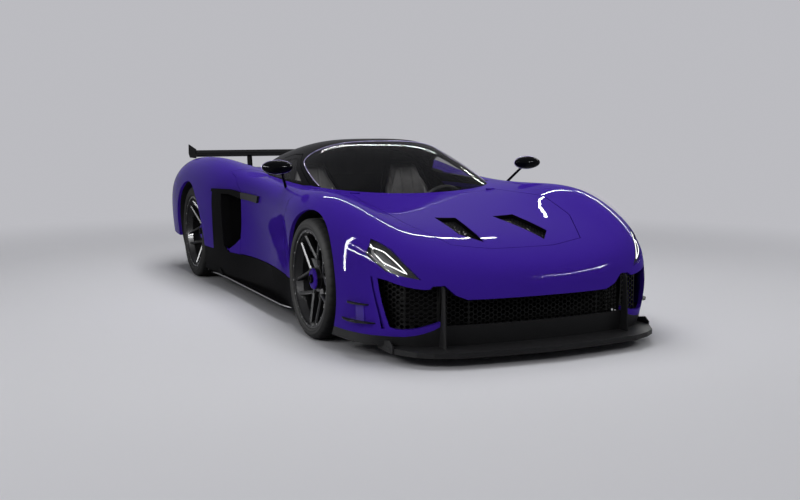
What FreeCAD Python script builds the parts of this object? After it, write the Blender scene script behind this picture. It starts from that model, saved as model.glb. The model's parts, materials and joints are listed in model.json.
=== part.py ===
# Mid-engined two-seat supercar, at full size, as separate panels, wheels, cabin and aerodynamic pieces.
# Millimetres. +X is the car's left side, -Y its front, +Z up. The origin is on the ground,
# midway between the tip of the front splitter and the rear of the diffuser.
import FreeCAD, Part
import math
import os

V = FreeCAD.Vector

# Length, axles and wheels
WHEELBASE = 2700.0
FRONT_OVERHANG = 1090.0
REAR_OVERHANG = 960.0
HALF_WIDTH = 1050.0
TYRE_RADIUS_FRONT = 347.0
TYRE_RADIUS_REAR = 363.0
TYRE_WIDTH_FRONT = 255.0
TYRE_WIDTH_REAR = 325.0
RIM_RADIUS = 283.0
WHEEL_INSET_FRONT = 67.0
WHEEL_INSET_REAR = 52.0
HUB_RECESS_FRONT = 62.0
HUB_RECESS_REAR = 104.0
SPOKE_SPREAD = math.radians(27)
ARCH_CLEARANCE = 50.0
ARCH_CLEARANCE_REAR = 44.0

LENGTH = FRONT_OVERHANG + WHEELBASE + REAR_OVERHANG
FRONT_TIP = -LENGTH / 2
REAR_TIP = LENGTH / 2
FRONT_AXLE = FRONT_TIP + FRONT_OVERHANG
REAR_AXLE = FRONT_AXLE + WHEELBASE
ARCH_FRONT = TYRE_RADIUS_FRONT + ARCH_CLEARANCE
ARCH_REAR = TYRE_RADIUS_REAR + ARCH_CLEARANCE_REAR

# Heights of the body
SILL_TOP = 295.0
FLOOR_LOW = 80.0
FLOOR_HIGH = 110.0
FLOOR_HALF = 860.0
FENDER_TOP = 2 * TYRE_RADIUS_FRONT + 186.0
HAUNCH_TOP = 2 * TYRE_RADIUS_REAR + 294.0
COWL_HEIGHT = 775.0
DECK_HEIGHT = COWL_HEIGHT + 70.0
ROOF_RISE = 353.0
CANOPY_BASE = COWL_HEIGHT - 75.0

# Thicknesses and gaps
PANEL_THICKNESS = 24.0
DOOR_THICKNESS = 66.0
ROOF_THICKNESS = 28.0
GLASS_THICKNESS = 6.0
SHUT_LINE = 5.0
SEAT_GAP = 0.3

# Cabin
CABIN_HALF_WIDTH = HALF_WIDTH * 0.705
FAR = 2 * LENGTH


# X, Y and Z carry a place measured on a car of 2700 mm wheelbase, 1050 mm half width and 775 mm cowl
# height to the sizes above.

def X(x):
    return x * HALF_WIDTH / 1050


def Y(y):
    if y < -1285:
        return FRONT_AXLE + (y + 1285) * FRONT_OVERHANG / 1090
    if y > 1415:
        return REAR_AXLE + (y - 1415) * REAR_OVERHANG / 960
    return FRONT_AXLE + (y + 1285) * WHEELBASE / 2700


def Z(z):
    if z > 775:
        return COWL_HEIGHT + (z - 775) * ROOF_RISE / 353
    return z * COWL_HEIGHT / 775


def xy(points):
    return [(X(x), Y(y)) for x, y in points]


def xz(points):
    return [(X(x), Z(z)) for x, z in points]


def yz(points):
    return [(Y(y), Z(z)) for y, z in points]


# Basic shapes

def box(x0, x1, y0, y1, z0, z1):
    return Part.makeBox(x1 - x0, y1 - y0, z1 - z0, V(x0, y0, z0))


def prism_x(points, x0, x1):
    """Extrudes an outline of (y, z) points from x0 to x1."""
    ring = [V(x0, y, z) for y, z in points]
    return Part.Face(Part.makePolygon(ring + ring[:1])).extrude(V(x1 - x0, 0, 0))


def prism_y(points, y0, y1):
    """Extrudes an outline of (x, z) points from y0 to y1."""
    ring = [V(x, y0, z) for x, z in points]
    return Part.Face(Part.makePolygon(ring + ring[:1])).extrude(V(0, y1 - y0, 0))


def prism_z(points, z0, z1):
    """Extrudes an outline of (x, y) points from z0 to z1."""
    ring = [V(x, y, z0) for x, y in points]
    return Part.Face(Part.makePolygon(ring + ring[:1])).extrude(V(0, 0, z1 - z0))


def rod_x(x0, x1, y, z, radius):
    return Part.makeCylinder(radius, x1 - x0, V(x0, y, z), V(1, 0, 0))


def bar(start, end, radius):
    """A round bar between two points."""
    run = end - start
    return Part.makeCylinder(radius, run.Length, start, run)


def mirrored(shape):
    return shape.mirror(V(0, 0, 0), V(1, 0, 0))


def both(shape):
    return Part.makeCompound([shape, mirrored(shape)])


def fuse(shapes):
    joined = shapes[0].multiFuse(shapes[1:]) if len(shapes) > 1 else shapes[0]
    return joined.removeSplitter()


# Skins drawn by a net of control points

def along(station):
    """The Y of a station: -1 at the front tip, 0 and 1 at the axles, 2 at the rear tip."""
    if station < 0:
        return FRONT_AXLE + station * FRONT_OVERHANG
    if station > 1:
        return REAR_AXLE + (station - 1) * REAR_OVERHANG
    return FRONT_AXLE + station * WHEELBASE


def knots(count):
    return [float(k) for k in range(count - 2)], [4] + [1] * (count - 4) + [4]


def full_net(rows):
    return [[V(-p.x, p.y, p.z) for p in row] + list(reversed(row[:-1])) for row in rows]


def skin(rows):
    """The closed solid under a net whose outer rows and columns all lie at one height."""
    net = full_net(rows)
    u_knots, u_mults = knots(len(net))
    v_knots, v_mults = knots(len(net[0]))
    surface = Part.BSplineSurface()
    surface.buildFromPolesMultsKnots(net, u_mults, v_mults, u_knots, v_knots, False, False, 3, 3)
    face = surface.toShape()
    rim = Part.Wire([edge.Curve.toShape(edge.FirstParameter, edge.LastParameter) for edge in face.OuterWire.Edges])
    shell = Part.Shell([face, Part.Face(rim)])
    shell.sewShape()
    solid = Part.Solid(shell)
    if solid.Volume < 0:
        solid.reverse()
    return solid


def inset(rows, depth):
    """The same net moved inwards by a depth, with its base carried lower so that a cut passes through."""
    net = full_net(rows)
    last, half = len(net) - 1, len(rows[0]) - 1
    moved = []
    for i in range(last + 1):
        row = []
        for j in range(half + 1):
            a, b = min(max(i, 1), last - 1), max(j, 1)
            normal = (net[a + 1][b] - net[a - 1][b]).cross(net[a][b + 1] - net[a][b - 1])
            on_base = i in (0, last) or j == 0
            if on_base:
                normal.z = 0
            if j == half:
                normal.x = 0
            normal.normalize()
            point = net[i][j] + normal * depth
            row.append(V(-point.x, point.y, net[i][j].z - abs(depth) if on_base else point.z))
        moved.append(row)
    return moved


def body_rows():
    """Control net of the painted body. Each pole is (station, share of the half width, height).
    The first and last rows and the first pole of each row lie on the base."""
    base = Z(60)
    rise = FENDER_TOP
    haunch = HAUNCH_TOP
    cowl = COWL_HEIGHT
    deck = DECK_HEIGHT
    low = Z(300)
    mid = Z(500)
    nose = [
        [(-0.640, 0.750, 60), (-0.680, 0.727, 60), (-0.712, 0.698, 60), (-0.740, 0.656, 60),
         (-0.762, 0.600, 60), (-0.790, 0.486, 60), (-0.822, 0.262, 60), (-0.830, 0, 60)],
        [(-0.605, 0.810, 60), (-0.665, 0.805, 260), (-0.716, 0.767, 270), (-0.752, 0.714, 275),
         (-0.784, 0.638, 280), (-0.820, 0.505, 285), (-0.853, 0.267, 285), (-0.862, 0, 285)],
        [(-0.540, 0.852, 60), (-0.555, 0.857, 290), (-0.638, 0.821, 430), (-0.716, 0.762, 450),
         (-0.775, 0.681, 450), (-0.826, 0.524, 430), (-0.872, 0.276, 405), (-0.881, 0, 400)],
        [(-0.450, 0.881, 60), (-0.459, 0.895, 300), (-0.477, 0.890, 470), (-0.578, 0.810, 600),
         (-0.651, 0.714, 605), (-0.734, 0.552, 560), (-0.798, 0.286, 520), (-0.817, 0, 510)],
        [(-0.307, 0.900, 60), (-0.317, 0.931, 300), (-0.326, 0.943, 490), (-0.335, 0.890, 680),
         (-0.372, 0.748, 760), (-0.450, 0.581, 665), (-0.518, 0.295, 625), (-0.528, 0, 615)],
    ]
    sections = [
        (0.000, [(0.919, base), (0.952, low), (0.973, mid + 10), (0.957, rise - 125), (0.786, rise),
                 (0.581, cowl - 10), (0.286, cowl - 60), (0, cowl - 70)]),
        (0.143, [(0.895, base), (0.914, low), (0.929, mid), (0.929, rise - 130), (0.786, rise - 15),
                 (0.590, cowl + 20), (0.295, cowl - 10), (0, cowl - 20)]),
        (0.268, [(0.867, base), (0.862, low), (0.862, mid), (0.881, rise - 145), (0.790, rise - 40),
                 (0.619, cowl + 42), (0.305, cowl + 25), (0, cowl + 15)]),
        (0.420, [(0.848, base), (0.829, low), (0.805, mid), (0.857, rise - 145), (0.810, rise - 35),
                 (0.657, cowl + 55), (0.324, cowl + 55), (0, cowl + 55)]),
        (0.568, [(0.857, base), (0.829, low), (0.800, mid), (0.857, rise - 120), (0.829, rise),
                 (0.657, deck + 5), (0.324, deck + 5), (0, deck + 5)]),
        (0.698, [(0.895, base), (0.924, low), (0.952, mid + 20), (0.952, haunch - 230), (0.848, haunch - 70),
                 (0.610, deck + 25), (0.305, deck + 15), (0, deck + 15)]),
        (0.846, [(0.924, base), (0.962, low), (0.990, mid + 40), (0.986, haunch - 195), (0.833, haunch - 5),
                 (0.571, deck + 35), (0.286, deck + 5), (0, deck + 5)]),
        (1.000, [(0.933, base), (0.976, low), (1.000, mid + 40), (0.995, haunch - 200), (0.819, haunch),
                 (0.552, deck + 25), (0.286, deck - 15), (0, deck - 15)]),
        (1.400, [(0.929, base), (0.971, low), (0.995, mid + 30), (0.990, haunch - 210), (0.810, haunch - 20),
                 (0.543, deck + 5), (0.276, deck - 25), (0, deck - 25)]),
        (1.735, [(0.914, base), (0.948, low + 10), (0.967, mid + 20), (0.952, haunch - 230), (0.781, haunch - 70),
                 (0.533, deck + 15), (0.276, deck), (0, deck)]),
        (2.050, [(0.857, base), (0.886, low - 10), (0.905, mid + 20), (0.886, haunch - 270), (0.733, haunch - 160),
                 (0.514, deck - 5), (0.267, deck - 10), (0, deck - 10)]),
        (2.150, [(0.819, base), (0.762, base), (0.705, base), (0.648, base), (0.571, base),
                 (0.429, base), (0.219, base), (0, base)]),
    ]
    rows = [[V(share * HALF_WIDTH, along(station), Z(z)) for station, share, z in row] for row in nose]
    for station, poles in sections:
        rows.append([V(share * HALF_WIDTH, along(station), z) for share, z in poles])
    return rows


def canopy_rows():
    """Control net of the glass canopy. Each pole is (station, share of the cabin's half width, height)."""
    base, cowl = CANOPY_BASE, COWL_HEIGHT
    top = COWL_HEIGHT + ROOF_RISE
    net = [
        [(0.240, 0.905, base), (0.216, 0.811, base), (0.202, 0.649, base), (0.195, 0.446, base),
         (0.192, 0.216, base), (0.191, 0, base)],
        [(0.275, 0.940, base), (0.240, 0.890, cowl + 8), (0.211, 0.709, cowl + 5), (0.200, 0.459, cowl),
         (0.196, 0.216, cowl - 3), (0.195, 0, cowl - 5)],
        [(0.345, 0.973, base), (0.331, 0.935, cowl + 45), (0.304, 0.736, cowl + 146),
         (0.291, 0.466, cowl + 157), (0.286, 0.230, cowl + 153), (0.284, 0, cowl + 151)],
        [(0.428, 1.000, base), (0.420, 0.953, cowl + 65), (0.413, 0.777, top - 143),
         (0.402, 0.500, top - 43), (0.398, 0.257, top - 23), (0.396, 0, top - 21)],
        [(0.531, 1.000, base), (0.531, 0.953, cowl + 80), (0.524, 0.770, top - 113),
         (0.517, 0.500, top - 18), (0.513, 0.257, top - 1), (0.513, 0, top)],
        [(0.643, 0.973, base), (0.643, 0.919, cowl + 85), (0.635, 0.770, top - 123),
         (0.631, 0.500, top - 43), (0.631, 0.243, top - 26), (0.631, 0, top - 25)],
        [(0.772, 0.899, base), (0.772, 0.845, cowl + 85), (0.769, 0.730, cowl + 195),
         (0.769, 0.486, cowl + 245), (0.769, 0.230, cowl + 257), (0.769, 0, cowl + 258)],
        [(0.902, 0.770, base), (0.902, 0.703, cowl + 55), (0.902, 0.608, cowl + 115),
         (0.902, 0.405, cowl + 145), (0.902, 0.189, cowl + 155), (0.902, 0, cowl + 155)],
        [(1.005, 0.595, base), (1.005, 0.514, cowl + 15), (1.005, 0.432, cowl + 40),
         (1.005, 0.284, cowl + 53), (1.005, 0.135, cowl + 59), (1.005, 0, cowl + 60)],
        [(1.151, 0.405, base), (1.167, 0.351, base), (1.177, 0.284, base), (1.182, 0.203, base),
         (1.184, 0.108, base), (1.186, 0, base)],
    ]
    return [[V(share * CABIN_HALF_WIDTH, along(station), z) for station, share, z in row] for row in net]


# Outlines on the body, measured on it

def grown(points, distance):
    """An outline moved outwards by a distance, edge by edge."""
    area = sum(a[0] * b[1] - b[0] * a[1] for a, b in zip(points, points[1:] + points[:1]))
    side = distance if area > 0 else -distance
    moved = []
    for before, here, after in zip(points[-1:] + points[:-1], points, points[1:] + points[:1]):
        ax, ay = here[0] - before[0], here[1] - before[1]
        bx, by = after[0] - here[0], after[1] - here[1]
        a, b = math.hypot(ax, ay), math.hypot(bx, by)
        nx, ny = ay / a + by / b, -ax / a - bx / b
        share = side / (1 + (ax * bx + ay * by) / (a * b))
        moved.append((here[0] + nx * share, here[1] + ny * share))
    return moved


def symmetric(points):
    """Closes a half outline of (x, ...) points with its mirror image."""
    return points + [(-p[0], p[1]) for p in reversed(points) if abs(p[0]) > 1]


NOSE_OPENING = symmetric([(566, 40), (566, 405), (547, 405), (492, 353), (430, 328)])
CORNER_GRILLE = [(556, 219), (596, 205), (645, 190), (693, 180), (738, 176), (775, 177), (800, 188), (818, 245),
                 (834, 312), (843, 378), (846, 440), (812, 431), (775, 414), (737, 402), (697, 393), (650, 387),
                 (626, 389), (610, 404), (556, 404)]
CORNER_SLOT = [(815, 176), (829, 172), (842, 242), (855, 309), (864, 375), (868, 446), (860, 444), (856, 376),
               (847, 310), (832, 243)]
MESH_LINE = [(400, -2146), (566, -2116), (725, -2050), (858, -1876)]
MESH_TOPS = [350, 424, 420, 456]
MESH_LOW = 170
MESH_PITCH = 27.5
MESH_BAR = 4.5
MESH_DEPTH = 6.0
LOWER_EDGE = [(566, 193), (600, 173), (643, 158), (691, 146), (740, 139), (794, 136), (850, 135), (1200, 128)]
HEADLIGHT = [(829, 631), (797, 612), (762, 583), (725, 517), (663, 435), (746, 452), (815, 478), (848, 518),
             (870, 556)]
STRIP_UPPER = [(846, 588), (840, 597), (790, 574), (742, 505), (712, 458), (722, 456), (752, 503), (797, 563)]
STRIP_LOWER = [(838, 612), (828, 606), (832, 556), (806, 520), (725, 470), (728, 462), (813, 511), (842, 553)]
VENT = [(262, -1462), (124, -1462), (190, -1935), (284, -1812)]
BONNET = symmetric([(520, -800), (610, -1250), (545, -1650), (410, -1960), (200, -2010)])
WINDSCREEN = symmetric([(650, -830), (650, -650), (630, -560), (611, -509), (616, -438), (613, -355), (602, -227), (575, -84),
                        (549, -45), (510, -42), (465, -52), (417, -75), (348, -95), (229, -108), (0, -115)]) + [(0, -850)]
DOOR_FRONT = -772
DOOR_REAR = 335
SILL_LINE = SILL_TOP * 775 / COWL_HEIGHT
DOOR = [(DOOR_FRONT, SILL_LINE + 5, 0), (DOOR_REAR, SILL_LINE + 5, 850), (DOOR_REAR, 424, 850),
        (DOOR_REAR - 47, 699, 850), (DOOR_REAR - 47, 752, 850), (DOOR_REAR + 25, 845, 680),
        (DOOR_REAR + 125, 880, 600), (DOOR_REAR, 978, 0), (200, 1008, 0), (60, 1012, 0), (-30, 970, 0),
        (-100, 938, 0), (-227, 893, 0), (-355, 846, 0), (-438, 811, 0), (DOOR_FRONT, 700, 0)]
DOOR_TAPER = 0.3
SIDE_WINDOW = [(-290, 841), (300, 858), (DOOR_REAR + 60, 886), (DOOR_REAR - 45, 948), (190, 976), (60, 984),
               (-15, 950), (-84, 918), (-200, 877)]
INTAKE = [(250, 742), (600, 742), (600, 318), (520, 318), (427, 363), (DOOR_REAR - 3, 424), (250, 470)]
DUCT = [(344, 405, 850), (344, 424, 850), (298, 699, 850), (298, 742, 850), (600, 742, 0), (600, 310, 0),
        (515, 310, 0), (430, 350, 0)]
PILLAR = [(514, 297), (560, 320), (590, 345), (597, 412), (594, 561), (585, 730), (742, 730), (739, 551),
          (760, 398), (781, 297)]
FLAP = [(-60, 738), (-27, 690), (DOOR_REAR - 50, 700), (DOOR_REAR - 50, 744)]
FLAP_END = [(DOOR_REAR - 38, 745), (DOOR_REAR - 38, 701), (450, 722), (585, 722), (742, 728), (742, 750), (452, 758)]
LID_FRONT = 618.5


def tapered(points, clearance, x0, x1):
    """A block between two widths. A point with a width of its own leans rearwards from there."""
    rings = []
    for x in (X(x0), X(x1)):
        outline = grown(yz([p[:2] for p in points]), clearance)
        ring = [V(x, y + (DOOR_TAPER * (x - X(p[2])) if p[2] else 0), z) for (y, z), p in zip(outline, points)]
        rings.append(Part.makePolygon(ring + ring[:1]))
    return Part.makeLoft(rings, True, True)


def door_region(clearance):
    """What lies inside the door's shut line, wider towards the outside so that the door can swing out."""
    lower = tapered(DOOR, clearance, 500, 1150).cut(
        box(0, X(705) - clearance, Y(-1000), Y(-412) - clearance, 0, FAR))
    shoulder = box(X(705) - clearance, X(1150), Y(DOOR_FRONT) - clearance, Y(-370), Z(600), Z(930))
    return lower.fuse(shoulder)


def top_at(solid, x, y):
    """The height of a solid's upper surface over a point."""
    return solid.common(Part.makeLine(V(x, y, 0), V(x, y, FAR))).BoundBox.ZMax


def outline_x(points, clearance=0.0):
    return prism_x(grown(yz(points), clearance), X(400), X(1300))


def outline_y(points, clearance=0.0):
    return prism_y(grown(xz(points), clearance), -FAR, Y(-1560))


def outline_z(points, clearance=0.0):
    return prism_z(grown(xy(points), clearance), 0, Z(1500))


# Skins used by several pieces

OUTER = skin(body_rows())
INNER = skin(inset(body_rows(), PANEL_THICKNESS))
UNDER = skin(inset(body_rows(), PANEL_THICKNESS + SEAT_GAP))
AROUND = skin(inset(body_rows(), -SEAT_GAP))
DOOR_INNER = skin(inset(body_rows(), DOOR_THICKNESS))
SHELL = OUTER.cut(INNER)
CANOPY = skin(canopy_rows())
CANOPY_HOLE = skin(inset(canopy_rows(), -SEAT_GAP))
CANOPY_LEDGE = skin(inset(canopy_rows(), 36))
ROOF_INNER = skin(inset(canopy_rows(), ROOF_THICKNESS))
GLASS_INNER = skin(inset(canopy_rows(), GLASS_THICKNESS))
ROOF_SHELL = CANOPY.cut(ROOF_INNER)
GLASS_SHELL = CANOPY.cut(GLASS_INNER)


def under(depth):
    return skin(inset(body_rows(), depth))


def layer(outer_depth, inner_depth):
    """What lies between two depths under the body's skin."""
    return under(outer_depth).cut(under(inner_depth))


def front_arches(radius, x0=None):
    return both(rod_x(x0 or X(480), X(1300), FRONT_AXLE, TYRE_RADIUS_FRONT, radius))


def rear_arches(radius, x0=None):
    return both(rod_x(x0 or X(480), X(1300), REAR_AXLE, TYRE_RADIUS_REAR, radius))


TAIL_BOW = 3600.0
TAIL_END = REAR_TIP - 40


def tail_inside(depth):
    """Everything in front of the bowed tail, at a depth under its face."""
    radius = TAIL_BOW - depth
    return Part.makeCylinder(radius, 2 * Z(1000), V(0, TAIL_END - TAIL_BOW, -200), V(0, 0, 1))


# Hinges of the doors and the bonnet

DOOR_HINGE = V(X(950), Y(DOOR_FRONT) - SHUT_LINE / 2, 0)
BONNET_HINGE_Y = Y(-800) + SHUT_LINE / 2
HINGE_RADIUS = 5.0


def door_hinge(radius, slack=0.0):
    """The door's two hinge pins, standing on its shut line at the front."""
    return [Part.makeCylinder(radius, 40 + 2 * slack, V(DOOR_HINGE.x, DOOR_HINGE.y, Z(z) - slack)) for z in (500, 600)]


def bonnet_hinge_height():
    """Just above the highest place of the bonnet's rear edge, so that the edge lifts clear."""
    return top_at(OUTER, X(520), BONNET_HINGE_Y) + 1


def bonnet_pins(first, radius, slack=0.0):
    """The bonnet's hinge pins, standing on the shut line at its rear corners."""
    return both(rod_x(X(first) - slack, X(first) + 30 + slack, BONNET_HINGE_Y, bonnet_hinge_height(), radius))


# Painted and black body panels

def front_clam():
    region = fuse([box(-FAR, FAR, -FAR, Y(DOOR_FRONT), 0, FAR),
                   box(X(-705), X(705), Y(DOOR_FRONT) - 1, Y(-400), Z(500), FAR)])
    lower = prism_y(xz([(560, -10)] + LOWER_EDGE + [(1200, -10)]), -FAR, Y(-400))
    shell = SHELL.common(region)
    cuts = [CANOPY_HOLE, both(lower), outline_y(NOSE_OPENING), both(outline_y(CORNER_GRILLE)),
            both(outline_y(CORNER_SLOT)), both(outline_y(HEADLIGHT)), outline_z(BONNET, SHUT_LINE),
            front_arches(ARCH_FRONT), both(door_region(SHUT_LINE)),
            box(-FAR, FAR, Y(-1010), Y(-300), 0, SILL_TOP), bonnet_pins(486, 6 + SEAT_GAP, SEAT_GAP)]
    pins = both(fuse(door_hinge(HINGE_RADIUS))).Solids + bonnet_pins(456, 6).Solids
    return fuse([shell.cut(cuts)] + pins)


def bonnet_lid():
    lid = SHELL.common(outline_z(BONNET)).common(box(X(-700), X(700), Y(-2100), Y(-700), Z(500), Z(900)))
    return fuse([lid.cut([both(outline_z(VENT)), bonnet_pins(456, 6 + SEAT_GAP, SEAT_GAP)])]
                + bonnet_pins(486 + SEAT_GAP, 6).Solids)


def bonnet_grille():
    slab = layer(PANEL_THICKNESS + SEAT_GAP, PANEL_THICKNESS + 9)
    return slab.common(outline_z(symmetric([(285, -1445), (305, -1820), (200, -1955)]))).common(
        box(X(-700), X(700), Y(-2100), Y(-700), Z(500), Z(900)))


def lower_bumper():
    lower = prism_y([(X(566), FLOOR_LOW)] + [(x, z - SEAT_GAP) for x, z in xz(LOWER_EDGE)] + [(X(1200), FLOOR_LOW)],
                    -FAR, Y(-1500))
    corner = SHELL.common(lower).cut(front_arches(ARCH_FRONT)).common(box(0, FAR, -FAR, Y(-1500), 0, Z(300)))
    middle = SHELL.common(box(0, X(567), -FAR, Y(-1900), FLOOR_LOW - 1, Z(192)))
    return fuse([corner, middle])


def mesh_plate(start, end, low, high_start, high_end):
    """An upright plate between two places in plan, pierced with hexagons in upright columns."""
    run = V(end[0] - start[0], end[1] - start[1], 0)
    length = run.Length
    direction = run / length
    half = (MESH_PITCH - MESH_BAR) / 2
    radius = half / math.sqrt(0.75)
    side = radius + MESH_BAR / 2
    columns = round((length - 2 * side) / (MESH_PITCH * math.sqrt(0.75))) + 1

    def wire(points):
        ring = [V(start[0], start[1], 0) + direction * s + V(0, 0, z) for s, z in points]
        return Part.makePolygon(ring + ring[:1])

    wires = [wire([(0, low), (length, low), (length, high_end), (0, high_start)])]
    turns = [math.radians(60 * k) for k in range(6)]
    for i in range(columns):
        s = side + (length - 2 * side) * i / (columns - 1)
        high = high_start + (high_end - high_start) * s / length
        z = low + MESH_BAR + half + (MESH_PITCH / 2 if i % 2 else 0)
        while z + half + MESH_BAR < high:
            wires.append(wire([(s + radius * math.cos(t), z + radius * math.sin(t)) for t in turns]))
            z += MESH_PITCH
    face = Part.makeFace(wires, "Part::FaceMakerBullseye")
    return face.extrude(V(-direction.y, direction.x, 0) * MESH_DEPTH)


def front_grille():
    """Pierced plates behind the openings, on a shelf behind the valance and ribs behind the struts."""
    places = xy(MESH_LINE)
    low, tops = Z(MESH_LOW), [Z(z) for z in MESH_TOPS]
    parts = [mesh_plate((-places[0][0], places[0][1]), places[0], low, tops[0], tops[0])]
    for i in range(len(places) - 1):
        parts += both(mesh_plate(places[i], places[i + 1], low, tops[i], tops[i + 1])).Solids
    for (x, y), high in zip(places, tops):
        parts += both(Part.makeCylinder(3, high - low, V(x, y + MESH_DEPTH / 2, low))).Solids
    plan = symmetric([(x, y + MESH_DEPTH) for x, y in places] + [(places[-1][0], Y(-2400))])
    parts.append(prism_z(plan, low, low + 6).common(UNDER))
    x, y = places[1]
    parts += both(box(x - 3, x + 3, Y(-2400), y + 4, low, tops[1]).common(UNDER)).Solids
    return fuse(parts)


def headlight_lens():
    return OUTER.cut(under(5)).common(outline_y(HEADLIGHT, -SEAT_GAP)).common(
        box(0, FAR, -FAR, Y(-1560), Z(300), Z(700)))


def headlight_housing():
    slab = layer(PANEL_THICKNESS + SEAT_GAP, PANEL_THICKNESS + 20)
    area = box(0, FAR, -FAR, Y(-1560), Z(300), Z(700))
    strips = layer(14, PANEL_THICKNESS + 5).common(fuse([outline_y(STRIP_UPPER), outline_y(STRIP_LOWER)])).common(area)
    return fuse([slab.common(outline_y(HEADLIGHT, 8)).common(area)] + strips.Solids)


def door():
    lower = OUTER.cut(DOOR_INNER).cut(CANOPY).common(door_region(0))
    frame = ROOF_SHELL.common(door_region(0)).common(box(0, FAR, Y(-900), Y(700), Z(760), FAR))
    whole = fuse([lower, frame])
    return whole.cut([outline_x(SIDE_WINDOW), front_arches(ARCH_FRONT)] + door_hinge(HINGE_RADIUS + 0.5, 0.5))


def door_flap():
    return under(-18).cut(AROUND).common(outline_x(FLAP))


def side_window():
    return GLASS_SHELL.common(outline_x(SIDE_WINDOW, -SEAT_GAP))


def lid_pins(first, radius, slack=0.0):
    """The lid's hinge pins on the shut line behind the roof, at the top of the canopy's outer surface."""
    y = Y(LID_FRONT) + SHUT_LINE / 2
    return both(rod_x(X(first) - slack, X(first) + 40 + slack, y, top_at(CANOPY, 0, y), radius))


def roof():
    shell = ROOF_SHELL.common(box(-FAR, FAR, Y(-900), Y(LID_FRONT), Z(720), FAR))
    shell = shell.cut([both(door_region(SHUT_LINE)), prism_z(xy(WINDSCREEN), Z(765), FAR),
                       lid_pins(60, 6 + SEAT_GAP, SEAT_GAP)])
    return fuse([shell] + lid_pins(100 + SEAT_GAP, 6).Solids)


def windscreen():
    return GLASS_SHELL.common(prism_z(grown(xy(WINDSCREEN), -SEAT_GAP), Z(765) + SEAT_GAP, FAR))


def engine_lid():
    shell = ROOF_SHELL.common(box(-FAR, FAR, Y(LID_FRONT) + SHUT_LINE, Y(1800), Z(720), FAR))
    shell = shell.cut([under(-SHUT_LINE), lid_pins(100, 6 + SEAT_GAP, SEAT_GAP)])
    return fuse([shell] + lid_pins(60, 6).Solids)


def rear_clam():
    region = box(-FAR, FAR, Y(DOOR_REAR - 200), FAR, SILL_TOP, FAR)
    shell = SHELL.common(region).common(tail_inside(0))
    hole = CANOPY_HOLE.common(box(-FAR, FAR, Y(-900), Y(LID_FRONT) + SHUT_LINE, 0, FAR))
    ledge = CANOPY_LEDGE.common(box(-FAR, FAR, Y(LID_FRONT) - 50, Y(1800), 0, FAR))
    return shell.cut([hole, ledge, both(door_region(SHUT_LINE)), rear_arches(ARCH_REAR), both(outline_x(INTAKE))])


def side_intake():
    walls = tapered(DUCT, 0, 770, 1150).cut(tapered(DUCT, -8, 778, 1200)).common(UNDER)
    over = under(-8)
    cover = over.cut(AROUND)
    post = over.cut(under(60)).common(outline_x([(583, 330), (599.7, 330), (599.7, 738), (583, 738)]))
    flap = under(-18).cut(AROUND).common(outline_x(FLAP_END))
    return fuse([walls, cover.common(outline_x(PILLAR)), post, flap])


def side_skirt():
    region = box(0, FAR, FRONT_AXLE, REAR_AXLE, FLOOR_HIGH, SILL_TOP - SEAT_GAP)
    wall = SHELL.common(region)
    edge = [(925, DOOR_FRONT - 90), (955, DOOR_FRONT + 60), (955, 720), (985, 895)]
    ends = [(FLOOR_HALF + SEAT_GAP, Y(DOOR_FRONT - 90))] + xy(edge) + [(FLOOR_HALF + SEAT_GAP, Y(895))]
    blade = prism_z(ends, FLOOR_HIGH - 14, FLOOR_HIGH)
    fin = prism_x([(Y(640), FLOOR_HIGH - 10), (Y(655), FLOOR_HIGH + 12), (Y(850), Z(225)), (Y(905), Z(205)),
                   (Y(892), FLOOR_HIGH - 10)], X(955), X(962))
    return fuse([wall, blade, fin]).cut([front_arches(ARCH_FRONT), rear_arches(ARCH_REAR)])


def rear_panel():
    ring = tail_inside(6).cut(tail_inside(26))
    return ring.common(UNDER).common(box(-FAR, FAR, Y(1800), FAR, Z(345), FAR)).cut(
        box(X(-130), X(130), Y(1800), FAR, Z(560), Z(660)))


def tail_light():
    ring = tail_inside(-2).cut(tail_inside(6 - SEAT_GAP))
    return ring.common(layer(PANEL_THICKNESS + 8, PANEL_THICKNESS + 22)).common(
        box(-FAR, FAR, Y(1800), FAR, Z(560), FAR))


def diffuser():
    y0, y1 = Y(1880), REAR_TIP
    shape = prism_x([(y0, FLOOR_LOW), (y0, FLOOR_HIGH), (y1 - 50, 342), (y1, 342), (y1, 318), (y1 - 40, 300)],
                    X(-800), X(800))
    fins = [prism_x([(y0 + 40, FLOOR_LOW + 5), (y1 - 20, FLOOR_LOW + 20), (y1 - 10, 325), (y1 - 60, 325)],
                    X(x) - 4, X(x) + 4) for x in (-792, -520, -260, 260, 520, 792)]
    return fuse([shape] + fins).common(tail_inside(-38))


def rear_wing():
    y, z = REAR_TIP - 330, Z(774) + 177
    section = [(y, z), (y + 60, z - 14), (y + 180, z - 6), (y + 280, z + 34), (y + 282, z + 38), (y + 170, z + 18),
               (y + 60, z + 16)]
    blade = prism_x(section, X(-792), X(792))
    plate = [(y + 65, z - 26), (y + 65, z + 53), (y + 325, z + 89), (y + 330, z + 9), (y + 285, z - 26)]
    ends = both(prism_x(plate, X(792) - 6, X(792)))
    posts = [prism_x([(y + 50, Z(750)), (y + 170, Z(750)), (y + 190, z + 2), (y + 80, z + 2)], X(x) - 7, X(x) + 7).cut(
        AROUND).Solids[0] for x in (-290, 290)]
    return fuse([blade] + ends.Solids + posts)


# Splitter, floor and structure

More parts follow.
